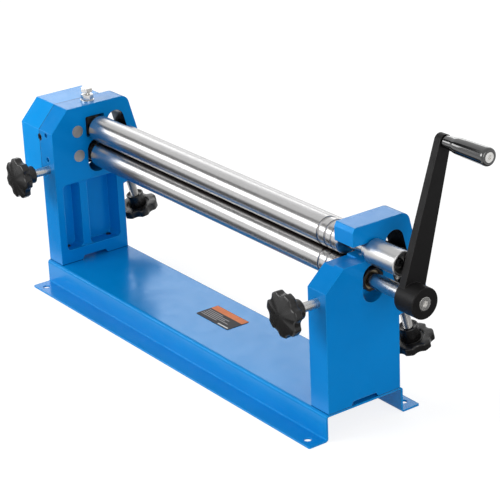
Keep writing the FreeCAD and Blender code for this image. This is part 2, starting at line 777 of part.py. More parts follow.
def make_knob(start, direction, phase):
    """A star knob whose hub starts at a point and runs along a direction, turned by a phase in degrees."""
    top = knob_hub_length + knob_body
    body = Part.makeCylinder(knob_radius, knob_body, Vector(0, 0, knob_hub_length))
    valley_centre = knob_radius - knob_valley_depth + knob_valley_radius
    for lobe in range(knob_lobes):
        turn = 2 * math.pi * lobe / knob_lobes
        centre = Vector(valley_centre * math.cos(turn), valley_centre * math.sin(turn), knob_hub_length - 1)
        body = body.cut(Part.makeCylinder(knob_valley_radius, knob_body + 2, centre))
    uprights = [edge for edge in body.Edges
                if edge.BoundBox.XLength < 1e-6 and edge.BoundBox.YLength < 1e-6]
    body = body.makeFillet(knob_edge, uprights)
    face_edges = [edge for edge in body.Edges if edge.BoundBox.ZMin > top - 1e-3]
    body = body.makeFillet(knob_edge * 0.6, face_edges)
    sunk = Part.makeCylinder(knob_recess_radius, knob_recess_depth, Vector(0, 0, knob_hub_length))
    hub = Part.makeCylinder(knob_hub_radius, knob_hub_length + knob_recess_depth + 1)
    body = body.cut(sunk).fuse(hub).removeSplitter()
    body = body.cut(Part.makeCylinder(knob_cup_radius, knob_cup_depth))
    body = body.cut(Part.makeCylinder(screw_radius, knob_screw_depth + 1, Vector(0, 0, -1)))
    turn = FreeCAD.Rotation(Z_AXIS, Vector(*direction)).multiply(FreeCAD.Rotation(Z_AXIS, phase))
    body.Placement = FreeCAD.Placement(Vector(*start), turn)
    return body


# ---- gears --------------------------------------------------------------------------------------

def involute_turn(base, radius):
    """The polar angle of an involute from its start to a radius."""
    roll = math.sqrt(max((radius / base) ** 2 - 1, 0.0))
    return roll - math.atan(roll)


def gear_outline(teeth, centre, phase):
    """(y, z) points of an involute gear with one tooth centred on the phase angle."""
    pitch = gear_module * teeth / 2
    base = pitch * math.cos(math.radians(pressure_angle))
    tip = pitch + tooth_addendum * gear_module
    root = pitch - tooth_dedendum * gear_module
    half_tooth = (math.pi * gear_module / 2 - tooth_thinning) / (2 * pitch)
    start = max(base, root)
    flank = [start + (tip - start) * step / 4 for step in range(5)]
    points = []
    for tooth in range(teeth):
        middle = phase + 2 * math.pi * tooth / teeth
        sides = []
        for radius in flank:
            half = half_tooth + involute_turn(base, pitch) - involute_turn(base, radius)
            sides.append((radius, half))
        low_half = sides[0][1]
        rising = [(root, -low_half)] + [(radius, -half) for radius, half in sides]
        falling = [(radius, half) for radius, half in reversed(sides)] + [(root, low_half)]
        for radius, half in rising + falling:
            if points and radius == root == points[-1][2] and half == points[-1][3]:
                continue
            y = centre[0] + radius * math.cos(middle + half)
            z = centre[1] + radius * math.sin(middle + half)
            points.append((y, z, radius, half))
    return [(y, z) for y, z, _, _ in points]


def mesh_phase(teeth, centre, phase, other_teeth, other_centre):
    """The phase that puts the other gear's gap over this gear's tooth on the line of centres."""
    line = math.atan2(other_centre[1] - centre[1], other_centre[0] - centre[0])
    offset = (phase - line) % (2 * math.pi / teeth)
    return line + math.pi - offset * teeth / other_teeth + math.pi / other_teeth


def make_gear(teeth, centre, phase, bore):
    body = plate(gear_outline(teeth, centre, phase), -gear_far, -gear_plane)
    return body.cut(rod(bore, (-gear_far - 1, *centre), (-gear_plane + 1, *centre)))


lower_gear_centre = (roll_y, lower_roll_z)
lower_idler_centre = (idler_y, lower_idler_z)
upper_idler_centre = (idler_y, upper_idler_z)
upper_gear_centre = (roll_y, upper_roll_z)
lower_gear_middle = (roll_y, lower_roll_z + (lower_roll_lift - lower_roll_drop) / 2)
lower_gear_phase = math.pi
lower_idler_phase = mesh_phase(roll_gear_teeth, lower_gear_middle, lower_gear_phase,
                               idler_teeth, lower_idler_centre)
upper_idler_phase = mesh_phase(idler_teeth, lower_idler_centre, lower_idler_phase,
                               idler_teeth, upper_idler_centre)
upper_gear_phase = mesh_phase(idler_teeth, upper_idler_centre, upper_idler_phase,
                              roll_gear_teeth, upper_gear_centre)


def make_idler_stud(z):
    shoulder = -gear_plane + 0.5
    stud = rod(idler_stud_radius, (-inner_face, idler_y, z), (shoulder, idler_y, z))
    pin_end = -gear_far - 2 * idler_ring - 1
    return stud.fuse(rod(idler_pin_radius, (shoulder, idler_y, z), (pin_end, idler_y, z))).removeSplitter()


def make_idler_rings():
    start = -gear_far - 0.3
    return [ring(idler_ring_radius, idler_pin_radius, (start, idler_y, z), (start - idler_ring, idler_y, z))
            for z in (upper_idler_z, lower_idler_z)]


def make_gear_washer(z):
    return ring(gear_washer_radius, m5_radius + sliding_gap, (-gear_far - gear_washer, roll_y, z),
                (-gear_far, roll_y, z))


def make_gear_screw(z):
    seat = (-gear_far - gear_washer, roll_y, z)
    return socket_screw(m5_radius, m5_head_radius, m5_head, m5_socket, seat, (1, 0, 0), m5_engagement)


# ---- release sleeve -----------------------------------------------------------------------------

def make_sleeve():
    shoulder = outer_face + sleeve_gap
    centre = (roll_y, upper_roll_z)
    body = rod(sleeve_radius, (shoulder, *centre), (sleeve_end, *centre))
    rims = [edge for edge in body.Edges if edge.BoundBox.XLength < 1e-6]
    body = body.makeChamfer(sleeve_chamfer, rims)
    neck = rod(sleeve_neck_radius, (shoulder - sleeve_neck_length, *centre), (shoulder, *centre))
    body = body.fuse(neck).removeSplitter()
    bore_start = shoulder - sleeve_neck_length - 1
    body = body.cut(rod(sleeve_journal_radius + running_gap, (bore_start, *centre), (sleeve_end, *centre)))
    return body.cut(rod(sleeve_hollow_radius, (sleeve_end - sleeve_hollow_depth, *centre),
                        (sleeve_end + 1, *centre)))


def make_retainer_washer():
    return ring(retainer_washer_radius, m5_radius + sliding_gap, (retainer_start, roll_y, upper_roll_z),
                (retainer_start + retainer_washer, roll_y, upper_roll_z))


def make_retainer_screw():
    seat = (retainer_start + retainer_washer, roll_y, upper_roll_z)
    return socket_screw(m5_radius, m5_head_radius, m5_head, m5_socket, seat, (-1, 0, 0), m5_engagement)


# ---- crank --------------------------------------------------------------------------------------

def grip_place(x):
    centre = Vector(x, roll_y, lower_roll_z) + crank_direction * crank_length
    return (centre.x, centre.y, centre.z)


def make_crank_arm():
    hub_centre = Vector(crank_start, roll_y, lower_roll_z)
    end_centre = Vector(*grip_place(crank_start))
    side = X_AXIS.cross(crank_direction)
    corners = [hub_centre + side * crank_half_width_low, end_centre + side * crank_half_width_high,
               end_centre - side * crank_half_width_high, hub_centre - side * crank_half_width_low]
    bar = Part.Face(Part.makePolygon(corners + corners[:1])).extrude(Vector(crank_arm_thickness, 0, 0))
    eye = rod(crank_half_width_high, grip_place(crank_start), grip_place(crank_arm_face))
    hub = rod(crank_hub_radius, hub_centre, (crank_end, roll_y, lower_roll_z))
    arm = bar.fuse(eye).fuse(hub).removeSplitter()
    rims = [edge for edge in arm.Edges if abs(edge.BoundBox.XMin - crank_end) < 1e-6]
    arm = arm.makeFillet(edge_round, rims)
    seat_end = crank_start + crank_seat_length
    centre = (roll_y, lower_roll_z)
    arm = arm.cut(rod(crank_seat_radius + running_gap, (crank_start - 1, *centre), (seat_end, *centre)))
    arm = arm.cut(rod(m8_radius + sliding_gap, (seat_end - 1, *centre), (crank_end, *centre)))
    arm = arm.cut(rod(crank_screw_head_radius + sliding_gap, (crank_end - crank_screw_head, *centre),
                      (crank_end + 1, *centre)))
    arm = arm.cut(crank_key())
    return arm.cut(rod(spindle_radius, grip_place(crank_start - 1), grip_place(crank_arm_face + 1)))


def make_crank_screw():
    seat = (crank_end - crank_screw_head, roll_y, lower_roll_z)
    length = seat[0] - (crank_start + crank_seat_length - m5_engagement + 1)
    return socket_screw(m8_radius, crank_screw_head_radius, crank_screw_head, m8_socket, seat, (-1, 0, 0),
                        length)


def make_grip():
    start = crank_arm_face + grip_gap
    radii = ((0.0, grip_neck_radius), (2.0, grip_neck_radius), (5.0, grip_low_radius),
             (grip_length - 2.0, grip_high_radius), (grip_length, grip_high_radius - 1.5))
    x0, y0, z0 = grip_place(start)
    points = [Vector(x0, y0, z0)]
    points += [Vector(x0 + x, y0, z0 + radius) for x, radius in radii]
    points.append(Vector(x0 + grip_length, y0, z0))
    face = Part.Face(Part.makePolygon(points + points[:1]))
    body = face.revolve(Vector(x0, y0, z0), X_AXIS, 360)
    end = start + grip_length
    body = body.cut(rod(spindle_radius + running_gap, grip_place(start - 1), grip_place(end + 1)))
    return body.cut(rod(spindle_head_radius + sliding_gap, grip_place(end - spindle_head - sliding_gap),
                        grip_place(end + 1)))


def make_spindle():
    end = crank_arm_face + grip_gap + grip_length
    seat = grip_place(end - spindle_head)
    return socket_screw(spindle_radius, spindle_head_radius, spindle_head, m5_socket, seat, (-1, 0, 0),
                        seat[0] - crank_start)


# ---- write every sub-part -----------------------------------------------------------------------

os.makedirs("parts", exist_ok=True)

save("base_channel", make_base())
save("label_plate", make_label())
save("left_frame", make_left_frame())
save("right_frame", make_right_frame())
save("gear_cover", make_gear_cover())
save("cover_screws", *make_cover_screws())
save("cover_seam_screw", make_seam_screw())
frame_bolts, frame_washers = make_frame_bolts()
save("frame_bolts", *frame_bolts)
save("frame_washers", *frame_washers)
save("stud_set_screws", *make_stud_set_screws())

save("upper_bearing_block", make_upper_block())
save("pivot_bolt", make_pivot_bolt())
save("pivot_washer", make_pivot_washer())
save("pivot_jam_nut", make_pivot_nut())

save("upper_roll", make_upper_roll())
save("upper_roll_neck", make_upper_roll_neck())
save("lower_roll", make_lower_roll())
save("rear_roll", make_rear_roll())

save("upper_roll_gear", make_gear(roll_gear_teeth, upper_gear_centre, upper_gear_phase,
                                  gear_seat_radius + running_gap).cut(gear_key(upper_roll_z)))
save("lower_roll_gear", make_gear(roll_gear_teeth, lower_gear_centre, lower_gear_phase,
                                  gear_seat_radius + running_gap).cut(gear_key(lower_roll_z)))
save("upper_idler_gear", make_gear(idler_teeth, upper_idler_centre, upper_idler_phase,
                                   idler_pin_radius + running_gap))
save("lower_idler_gear", make_gear(idler_teeth, lower_idler_centre, lower_idler_phase,
                                   idler_pin_radius + running_gap))
save("upper_idler_stud", make_idler_stud(upper_idler_z))
save("lower_idler_stud", make_idler_stud(lower_idler_z))
save("idler_rings", *make_idler_rings())
for level, roll_z in (("upper", upper_roll_z), ("lower", lower_roll_z)):
    save(level + "_gear_key", gear_key(roll_z))
    save(level + "_gear_washer", make_gear_washer(roll_z))
    save(level + "_gear_screw", make_gear_screw(roll_z))

save("release_sleeve", make_sleeve())
save("sleeve_retainer_washer", make_retainer_washer())
save("sleeve_retainer_screw", make_retainer_screw())

for name, side in (("left", -1), ("right", 1)):
    save(name + "_lower_block", make_lower_block(side))
    save(name + "_lower_bush", make_lower_bush(side))
    save(name + "_rear_block", make_rear_block(side))
    save(name + "_rear_bush", make_rear_bush(side))
    save(name + "_front_screw", make_front_screw(side))
    save(name + "_front_knob", make_knob((side * frame_middle, -front_knob_back, front_screw_z),
                                           (0, -1, 0), front_knob_turns[side]))
    save(name + "_rear_screw", make_rear_screw(side))
    save(name + "_rear_knob", make_knob(rear_point(side * frame_middle, rear_knob_start),
                                          rear_down, rear_knob_turns[side]))

save("crank_arm", make_crank_arm())
save("crank_key", crank_key())
save("crank_screw", make_crank_screw())
save("grip_spindle", make_spindle())
save("grip", make_grip())
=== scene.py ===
import math

import bmesh
import bpy
from mathutils import Matrix, Vector


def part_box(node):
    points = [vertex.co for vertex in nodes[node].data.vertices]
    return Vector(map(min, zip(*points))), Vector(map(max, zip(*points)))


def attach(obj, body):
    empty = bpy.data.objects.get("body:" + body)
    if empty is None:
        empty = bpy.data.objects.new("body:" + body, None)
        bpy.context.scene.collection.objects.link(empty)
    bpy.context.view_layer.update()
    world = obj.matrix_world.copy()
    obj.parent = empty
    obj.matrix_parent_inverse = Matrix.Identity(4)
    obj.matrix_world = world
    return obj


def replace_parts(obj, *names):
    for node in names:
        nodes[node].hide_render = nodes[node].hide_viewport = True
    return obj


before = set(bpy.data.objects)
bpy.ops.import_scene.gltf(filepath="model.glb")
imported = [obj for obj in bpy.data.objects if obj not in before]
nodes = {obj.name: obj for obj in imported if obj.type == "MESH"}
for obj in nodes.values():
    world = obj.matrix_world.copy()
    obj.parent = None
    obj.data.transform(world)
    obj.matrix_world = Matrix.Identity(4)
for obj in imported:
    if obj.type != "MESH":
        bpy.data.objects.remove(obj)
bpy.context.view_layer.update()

MM = 0.001
X_AXIS = Vector((1, 0, 0))
Y_AXIS = Vector((0, 1, 0))
Z_AXIS = Vector((0, 0, 1))
SIDES = (("left", -1), ("right", 1))                 # name and sign of x

# ---- places in the CAD model (metres) -----------------------------------------------------------

SCREW_X = 254.25 * MM                                # middle of each end frame
ROLL_Y = 13.4 * MM                                   # axes of the two pinch rolls
FRONT_SCREW_Z = 147.0 * MM
FRONT_KNOB_Y = -68.0 * MM
REAR_LEAN = math.radians(15.0)
REAR_DOWN = Vector((0, math.sin(REAR_LEAN), -math.cos(REAR_LEAN)))
REAR_TOP = Vector((0, 41.5 * MM, 192.7 * MM))        # upper end of the rear slots' centre line
REAR_SLOT_LENGTH = 38.0 * MM
REAR_SLOT_RADIUS = 11.5 * MM
REAR_KNOB_START = 109.0 * MM                         # down the centre line from REAR_TOP

# dark joint lines: axis, where the line starts, where it is full
FOOT_JOINT = ("Z", 29.9 * MM, 29.3 * MM)             # the frames' feet on the base
COVER_JOINT = ("X", -269.6 * MM, -269.0 * MM)        # the gear cover on the left frame


# ---- node materials -----------------------------------------------------------------------------

NOISE_ROUGHNESS = 0.55
NOISE_STOPS = (0.3, 0.7)                             # noise values where a ramp starts and ends
BEVEL_SAMPLES = 6
EDGE_COSINES = (0.995, 0.80)                         # plain to rounded normal: no edge, full edge
MIX_FACTOR, MIX_FIRST, MIX_SECOND = 0, 6, 7          # input sockets of a mix node for colours
MIX_RESULT = 2                                       # and its output socket

BLACK = (0, 0, 0)
WHITE = (1, 1, 1)
ENAMEL_TINT = (0.0, 0.45, 1.0, 1.0)
# paler blue of the edges: wear and painted highlight
WORN_AND_HIGHLIGHT_BLUE = (0.03, 0.42, 0.92)
SLOT_WALL_COLOUR = (0.006, 0.007, 0.010)
SLOT_DARK_START = 0.5 * MM                              # distance from a slot's wall where the near-black colour starts, and where it is full
SLOT_DARK_FULL = 0.2 * MM                               # metal starts, and where it is full
JOINT_COLOUR = (0.0, 0.02, 0.07)

# painted shade: steel darkened in its grooves and between near parts, such as the rolls' nip
PAINTED_SHADE_COLOUR = (0.10, 0.085, 0.08)
PAINTED_SHADE_SAMPLES = 8
PAINTED_SHADE_STOPS = (0.35, 0.85)                         # open share: full painted shade, plain steel
GRIND_ALONG = 900.0                                  # noise cells per metre along the ground axis
GRIND_AROUND = 8.0                                   # and square to it


def grey(level):
    return (level,) * 3


def shade(colour, share):
    """A colour made darker or lighter by a share, no brighter than white."""
    return tuple(min(1.0, part * share) for part in colour)


class Shader:
    """A principled material whose colour, roughness and relief come from nodes."""

    def __init__(self, name, **sockets):
        self.material = bpy.data.materials.new(name)
        self.material.use_nodes = True
        self.tree = self.material.node_tree
        self.tree.nodes.clear()
        self.output = self.add("ShaderNodeOutputMaterial")
        self.bsdf = self.add("ShaderNodeBsdfPrincipled")
        self.link(self.bsdf, "BSDF", self.output, "Surface")
        for socket, value in sockets.items():
            self.bsdf.inputs[socket.replace("_", " ")].default_value = value
        self.place = self.add("ShaderNodeTexCoord")
        self.relief = None

    def add(self, kind, **settings):
        node = self.tree.nodes.new(kind)
        for key, value in settings.items():
            setattr(node, key, value)
        return node

    def link(self, source, output, target, socket):
        self.tree.links.new(source.outputs[output], target.inputs[socket])

    def noise(self, scale, detail, stretch=(1, 1, 1)):
        """Noise in object coordinates, which are first scaled along each axis."""
        mapping = self.add("ShaderNodeMapping")
        mapping.inputs["Scale"].default_value = stretch
        self.link(self.place, "Object", mapping, "Vector")
        node = self.add("ShaderNodeTexNoise")
        node.inputs["Scale"].default_value = scale
        node.inputs["Detail"].default_value = detail
        node.inputs["Roughness"].default_value = NOISE_ROUGHNESS
        self.link(mapping, "Vector", node, "Vector")
        return node

    def ramp(self, source, output, low, high, stops=NOISE_STOPS):
        """Colours from low to high as the source goes from the first stop to the second."""
        node = self.add("ShaderNodeValToRGB")
        for element, stop, colour in zip(node.color_ramp.elements, stops, (low, high)):
            element.position = stop
            element.color = (*colour, 1)
        self.link(source, output, node, "Fac")
        return node

    def mixed(self, factor, output, first, second):
        """Colour mix; first and second are (node, output) pairs or colours."""
        node = self.add("ShaderNodeMix", data_type="RGBA")
        self.link(factor, output, node, MIX_FACTOR)
        for socket, value in ((MIX_FIRST, first), (MIX_SECOND, second)):
            if isinstance(value[0], bpy.types.Node):
                self.link(*value, node, socket)
            else:
                node.inputs[socket].default_value = (*value, 1)
        return node

    def product(self, mask, grain):
        """A mask that a noise breaks up into spots."""
        node = self.add("ShaderNodeMath", operation="MULTIPLY")
        self.link(mask, "Result", node, 0)
        self.link(grain, "Fac", node, 1)
        return node

    def gloss(self, grain, smooth, rough):
        """Let the roughness follow a noise between two levels."""
        levels = self.ramp(grain, "Fac", grey(smooth), grey(rough))
        self.link(levels, "Color", self.bsdf, "Roughness")

    def bump(self, grain, strength, distance):
        """Stack one more layer of relief under the normal."""
        node = self.add("ShaderNodeBump")
        node.inputs["Strength"].default_value = strength
        node.inputs["Distance"].default_value = distance
        self.link(grain, "Fac", node, "Height")
        if self.relief is not None:
            self.tree.links.new(self.relief, node.inputs["Normal"])
        self.relief = node.outputs["Normal"]

    def map_range(self, source, output, start, full):
        """0 at the start and 1 where the source reaches the full value."""
        node = self.add("ShaderNodeMapRange")
        node.inputs["From Min"].default_value = start
        node.inputs["From Max"].default_value = full
        self.link(source, output, node, "Value")
        return node

    def soft_edges(self, radius):
        """Round the look of every sharp edge, and return a mask of those edges."""
        bevel = self.add("ShaderNodeBevel", samples=BEVEL_SAMPLES)
        bevel.inputs["Radius"].default_value = radius
        self.relief = bevel.outputs["Normal"]
        geometry = self.add("ShaderNodeNewGeometry")
        dot = self.add("ShaderNodeVectorMath", operation="DOT_PRODUCT")
        self.link(bevel, "Normal", dot, 0)
        self.link(geometry, "Normal", dot, 1)
        return self.map_range(dot, "Value", *EDGE_COSINES)

    def done(self):
        """Join the relief to the surface and return the material."""
        if self.relief is not None:
            self.tree.links.new(self.relief, self.bsdf.inputs["Normal"])
        return self.material


def slot_mask(shader):
    """1 on the walls of the rear slots, which turn near black, and 0 elsewhere."""
    axes = shader.add("ShaderNodeSeparateXYZ")
    shader.link(shader.place, "Object", axes, "Vector")
    flat = shader.add("ShaderNodeCombineXYZ")
    shader.link(axes, "Y", flat, "Y")
    shader.link(axes, "Z", flat, "Z")
    offset = shader.add("ShaderNodeVectorMath", operation="SUBTRACT")
    offset.inputs[1].default_value = REAR_TOP
    shader.link(flat, "Vector", offset, 0)
    station = shader.add("ShaderNodeVectorMath", operation="DOT_PRODUCT")
    station.inputs[1].default_value = REAR_DOWN
    shader.link(offset, "Vector", station, 0)
    held = shader.add("ShaderNodeClamp")
    held.inputs["Max"].default_value = REAR_SLOT_LENGTH
    shader.link(station, "Value", held, "Value")
    nearest = shader.add("ShaderNodeVectorMath", operation="SCALE")
    nearest.inputs[0].default_value = REAR_DOWN
    shader.link(held, "Result", nearest, "Scale")
    across = shader.add("ShaderNodeVectorMath", operation="DISTANCE")
    shader.link(offset, "Vector", across, 0)
    shader.link(nearest, "Vector", across, 1)
    return shader.map_range(across, "Value", REAR_SLOT_RADIUS + SLOT_DARK_START,
                            REAR_SLOT_RADIUS + SLOT_DARK_FULL)


def line_mask(shader, axis, start, full):
    """1 on one side of a plane square to an axis and 0 on the other, for a dark joint line."""
    axes = shader.add("ShaderNodeSeparateXYZ")
    shader.link(shader.place, "Object", axes, "Vector")
    return shader.map_range(axes, axis, start, full)


def paint(name, low, high, cast=False, joint=None):
    """Blue enamel whose worn edges carry a painted highlight.

    cast adds the castings' sand texture and near-black slot walls, joint a dark line.
    """
    shader = Shader(name, IOR=1.6, Specular_Tint=ENAMEL_TINT)
    mask = shader.soft_edges(radius=1.2 * MM)
    tone = shader.ramp(shader.noise(scale=9.0, detail=4.0), "Fac", low, high)
    # painted highlight on the edges, broken up by noise, where the paint is also worn thin
    worn_and_highlight = shader.product(mask, shader.noise(scale=420.0, detail=5.0))
    colour = shader.mixed(worn_and_highlight, "Value", (tone, "Color"), WORN_AND_HIGHLIGHT_BLUE)
    if cast:
        # the walls of the rear slots turn near black
        slot_walls = slot_mask(shader)
        colour = shader.mixed(slot_walls, "Result", (colour, MIX_RESULT), SLOT_WALL_COLOUR)
    if joint:
        line = line_mask(shader, *joint)
        colour = shader.mixed(line, "Result", (colour, MIX_RESULT), JOINT_COLOUR)
    shader.link(colour, MIX_RESULT, shader.bsdf, "Base Color")
    shader.gloss(shader.noise(scale=60.0, detail=4.0), smooth=0.18, rough=0.26)
    shader.bump(shader.noise(scale=380.0, detail=2.0), strength=0.04, distance=0.12 * MM)
    if cast:
        shader.bump(shader.noise(scale=120.0, detail=4.0), strength=0.09, distance=0.4 * MM)
    return shader.done()


def ground_steel(name, colour, smooth, rough, lines, axis=0, shade_reach=None):
    """Steel with the fine lines of turning or grinding round one axis.

    lines is their depth, and painted shade darkens the steel within a reach of near surfaces.
    """
    shader = Shader(name, Metallic=1.0)
    mask = shader.soft_edges(radius=0.4 * MM)
    tone = shader.ramp(shader.noise(scale=35.0, detail=4.0), "Fac", shade(colour, 0.94), colour)
    surface = shader.mixed(mask, "Result", (tone, "Color"), shade(colour, 1.08))
    if shade_reach:
        # painted shade where other surfaces lie near
        occlusion = shader.add("ShaderNodeAmbientOcclusion", samples=PAINTED_SHADE_SAMPLES)
        occlusion.inputs["Distance"].default_value = shade_reach
        unshaded_share = shader.ramp(occlusion, "AO", BLACK, WHITE, PAINTED_SHADE_STOPS)
        surface = shader.mixed(unshaded_share, "Color", PAINTED_SHADE_COLOUR, (surface, MIX_RESULT))
    shader.link(surface, MIX_RESULT, shader.bsdf, "Base Color")
    stretch = [GRIND_AROUND] * 3
    stretch[axis] = GRIND_ALONG
    rings = shader.noise(scale=1.0, detail=3.0, stretch=stretch)
    shader.gloss(rings, smooth, rough)
    shader.bump(rings, strength=lines, distance=0.02 * MM)
    return shader.done()


def plated_steel(name, colour, roughness):
    """Bright or dull metal with cloudy tone and gloss and a fine grain."""
    shader = Shader(name, Metallic=1.0)
    mask = shader.soft_edges(radius=0.35 * MM)
    tone = shader.ramp(shader.noise(scale=160.0, detail=4.0), "Fac", shade(colour, 0.86), colour)
    surface = shader.mixed(mask, "Result", (tone, "Color"), shade(colour, 1.15))
    shader.link(surface, MIX_RESULT, shader.bsdf, "Base Color")
    shader.gloss(shader.noise(scale=240.0, detail=3.0), roughness * 0.8, roughness * 1.25)
    shader.bump(shader.noise(scale=700.0, detail=3.0), strength=0.12, distance=0.08 * MM)
    return shader.done()


def black_finish(name, colour, edge_colour, smooth, rough, grain, depth, **sockets):
    """Black plastic, oxide or enamel with a grain of some scale and depth.

    Its paler edges are rubbed and carry a painted highlight.
    """
    shader = Shader(name, **sockets)
    mask = shader.soft_edges(radius=0.7 * MM)
    tone = shader.ramp(shader.noise(scale=40.0, detail=4.0), "Fac", shade(colour, 0.75), colour)
    # paler edges, broken up by noise: rubbed wear and painted highlight
    rub_and_highlight = shader.product(mask, shader.noise(scale=300.0, detail=4.0))
    surface = shader.mixed(rub_and_highlight, "Value", (tone, "Color"), edge_colour)
    shader.link(surface, MIX_RESULT, shader.bsdf, "Base Color")
    shader.gloss(shader.noise(scale=90.0, detail=4.0), smooth, rough)
    shader.bump(shader.noise(scale=grain, detail=3.0), strength=depth, distance=0.15 * MM)
    return shader.done()


def printed_film(name, colour):
    """The matt printed film of the label."""
    shader = Shader(name, Specular_IOR_Level=0.12)
    tone = shader.ramp(shader.noise(scale=120.0, detail=3.0), "Fac", shade(colour, 0.88), colour)
    shader.link(tone, "Color", shader.bsdf, "Base Color")
    shader.gloss(shader.noise(scale=200.0, detail=3.0), smooth=0.50, rough=0.62)
    shader.bump(shader.noise(scale=500.0, detail=2.0), strength=0.08, distance=0.05 * MM)
    return shader.done()


cast_blue = paint("cast_blue", low=(0.0, 0.196, 0.560), high=(0.001, 0.228, 0.630),
                  cast=True, joint=FOOT_JOINT)
sheet_blue = paint("sheet_blue", low=(0.0, 0.212, 0.570), high=(0.001, 0.240, 0.625))
cover_blue = paint("cover_blue", low=(0.0, 0.270, 0.720), high=(0.001, 0.305, 0.790),
                   cast=True, joint=COVER_JOINT)
# the rolls get painted shade in their grooves and between them
roll_steel = ground_steel("roll_steel", (0.49, 0.487, 0.487), smooth=0.24, rough=0.27,
                          lines=0.02, shade_reach=9.0 * MM)
sleeve_steel = ground_steel("sleeve_steel", (0.50, 0.497, 0.494), smooth=0.28, rough=0.36,
                            lines=0.10)
screw_steel = ground_steel("screw_steel", (0.58, 0.57, 0.55), smooth=0.24, rough=0.34,
                           lines=0.30, axis=1)
thread_steel = plated_steel("thread_steel", (0.44, 0.43, 0.41), roughness=0.38)
stud_steel = plated_steel("stud_steel", (0.42, 0.40, 0.38), roughness=0.50)
zinc = plated_steel("zinc", (0.72, 0.71, 0.69), roughness=0.24)
bronze = plated_steel("bronze", (0.60, 0.50, 0.34), roughness=0.34)
gear_steel = plated_steel("gear_steel", (0.42, 0.41, 0.40), roughness=0.38)
oxide = black_finish("oxide", (0.010, 0.010, 0.011), edge_colour=grey(0.07), smooth=0.34,
                     rough=0.46, grain=600.0, depth=0.10, Specular_IOR_Level=0.3)
crank_black = black_finish("crank_black", (0.006, 0.0056, 0.0058),
                           edge_colour=(0.09, 0.085, 0.085), smooth=0.42, rough=0.56,
                           grain=420.0, depth=0.25, Specular_IOR_Level=0.15)
knob_black = black_finish("knob_black", (0.007, 0.0065, 0.0065), edge_colour=grey(0.05),
                          smooth=0.24, rough=0.32, grain=300.0, depth=0.05,
                          Specular_IOR_Level=0.40)
grip_black = black_finish("grip_black", (0.004, 0.004, 0.0045), edge_colour=grey(0.02),
                          smooth=0.15, rough=0.20, grain=180.0, depth=0.03,
                          Specular_IOR_Level=0.20, Coat_Weight=1.0, Coat_Roughness=0.08,
                          Coat_IOR=1.7)
film_grey = printed_film("film_grey", (0.060, 0.057, 0.060))
film_pale = printed_film("film_pale", (0.42, 0.40, 0.40))
film_orange = printed_film("film_orange", (0.86, 0.27, 0.11))
film_white = printed_film("film_white", (0.82, 0.82, 0.81))

NODE_FINISHES = (
    (sheet_blue, ("base_channel",)),
    (cast_blue, ("left_frame", "right_frame")),
    (cover_blue, ("gear_cover",)),
    (roll_steel, ("upper_roll", "upper_roll_neck", "lower_roll", "rear_roll")),
    (sleeve_steel, ("release_sleeve",)),
    (screw_steel, ("left_front_screw", "right_front_screw")),
    (thread_steel, ("left_rear_screw", "right_rear_screw")),
    (stud_steel, ("upper_idler_stud", "lower_idler_stud")),
    (zinc, ("frame_washers", "upper_gear_washer", "lower_gear_washer", "sleeve_retainer_washer",
            "crank_screw", "grip_spindle", "pivot_washer", "pivot_bolt", "pivot_jam_nut")),
    (bronze, ("left_lower_bush", "right_lower_bush", "left_rear_bush", "right_rear_bush")),
    (gear_steel, ("upper_roll_gear", "lower_roll_gear", "upper_idler_gear", "lower_idler_gear",
                  "upper_gear_key", "lower_gear_key", "crank_key")),
    (oxide, ("cover_screws", "cover_seam_screw", "frame_bolts", "stud_set_screws", "idler_rings",
             "upper_bearing_block", "left_lower_block", "right_lower_block", "left_rear_block",
             "right_rear_block", "upper_gear_screw", "lower_gear_screw",
             "sleeve_retainer_screw")),
    (crank_black, ("crank_arm",)),
    (knob_black, ("left_front_knob", "right_front_knob", "left_rear_knob", "right_rear_knob")),
    (grip_black, ("grip",)),
    (film_grey, ("label_plate",)),
)
cad_materials = {name: material for material, names in NODE_FINISHES for name in names}
for name, node in nodes.items():
    node.data.materials.clear()
    node.data.materials.append(cad_materials[name])


# ---- mesh pieces --------------------------------------------------------------------------------

# sharp edges are those above these angles, in degrees
PANEL_SHARP = 35.0
TURNED_SHARP = 50.0
THREAD_SHARP = 60.0
HEX_SHARP = 24.0


def add_object(name, mesh, material, body):
    """Link a finished mesh, give it its material and ride it on its body."""
    piece = bpy.data.objects.new(name, mesh)
    bpy.context.scene.collection.objects.link(piece)
    mesh.materials.append(material)
    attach(piece, body)
    return piece


def finish_mesh(name, shape, sharp):
    """Turn a bmesh into a mesh, smooth but with sharp edges above an angle."""
    bmesh.ops.recalc_face_normals(shape, faces=shape.faces)
    for face in shape.faces:
        face.smooth = True
    limit = math.radians(sharp)
    for edge in shape.edges:
        edge.smooth = len(edge.link_faces) == 2 and edge.calc_face_angle(0) < limit
    mesh = bpy.data.meshes.new(name)
    shape.to_mesh(mesh)
    shape.free()
    return mesh


def loft(rings):
    """A closed skin through rings of equally many points."""
    shape = bmesh.new()
    rows = [[shape.verts.new(point) for point in ring] for ring in rings]
    count = len(rows[0])
    for low, high in zip(rows, rows[1:]):
        for i in range(count):
            shape.faces.new((low[i], low[(i + 1) % count], high[(i + 1) % count], high[i]))
    shape.faces.new(list(reversed(rows[0])))
    shape.faces.new(rows[-1])
    return shape


def axis_frame(origin, direction):
    """A matrix whose Z runs along a direction square to the world's X, which stays its X."""
    z_axis = Vector(direction).normalized()
    turn = Matrix((X_AXIS, z_axis.cross(X_AXIS), z_axis)).transposed().to_4x4()
    return Matrix.Translation(origin) @ turn


def turns(steps):
    """The angles of one full turn in equal steps."""
    return [2 * math.pi * step / steps for step in range(steps)]


def ring_of(radii, height):
    """A ring of points round Z at a height, one for each radius, from millimetres to metres."""
    return [Vector((radius * math.cos(turn), radius * math.sin(turn), height)) * MM
            for radius, turn in zip(radii, turns(len(radii)))]


